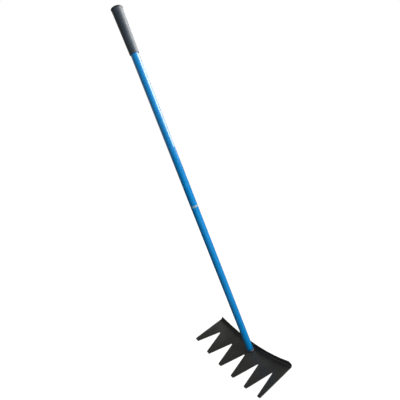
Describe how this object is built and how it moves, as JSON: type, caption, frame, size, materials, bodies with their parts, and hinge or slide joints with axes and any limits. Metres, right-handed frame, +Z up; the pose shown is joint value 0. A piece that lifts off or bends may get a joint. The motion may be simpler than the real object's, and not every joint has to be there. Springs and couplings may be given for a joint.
{
  "type": "hand rake",
  "caption": "Garden rake: a straight tubular handle with a soft tapered grip and end cap, welded square to a rolled sheet head with tapered teeth and a turned top flange.",
  "frame": {"origin": "on the handle's axis, where the tube seats on the front face of the head", "axes": "+Z up the handle from the head to the grip, X across the head, teeth towards -Y, the front of the head faces +Z"},
  "size_m": [0.4038, 0.1422, 1.2157],
  "materials": {
    "handle_paint": "gloss blue powder coat",
    "head_paint": "semi-gloss black powder coat",
    "weld_paint": "semi-gloss black powder coat over a rippled weld",
    "grip_vinyl": "satin dark grey soft vinyl",
    "cap_plastic": "satin black moulded plastic"
  },
  "bodies": {
    "root": {"handle_tube": "handle_paint", "rake_head": "head_paint", "head_weld": "weld_paint", "hand_grip": "grip_vinyl", "grip_end_cap": "cap_plastic"}
  },
  "joints": []
}
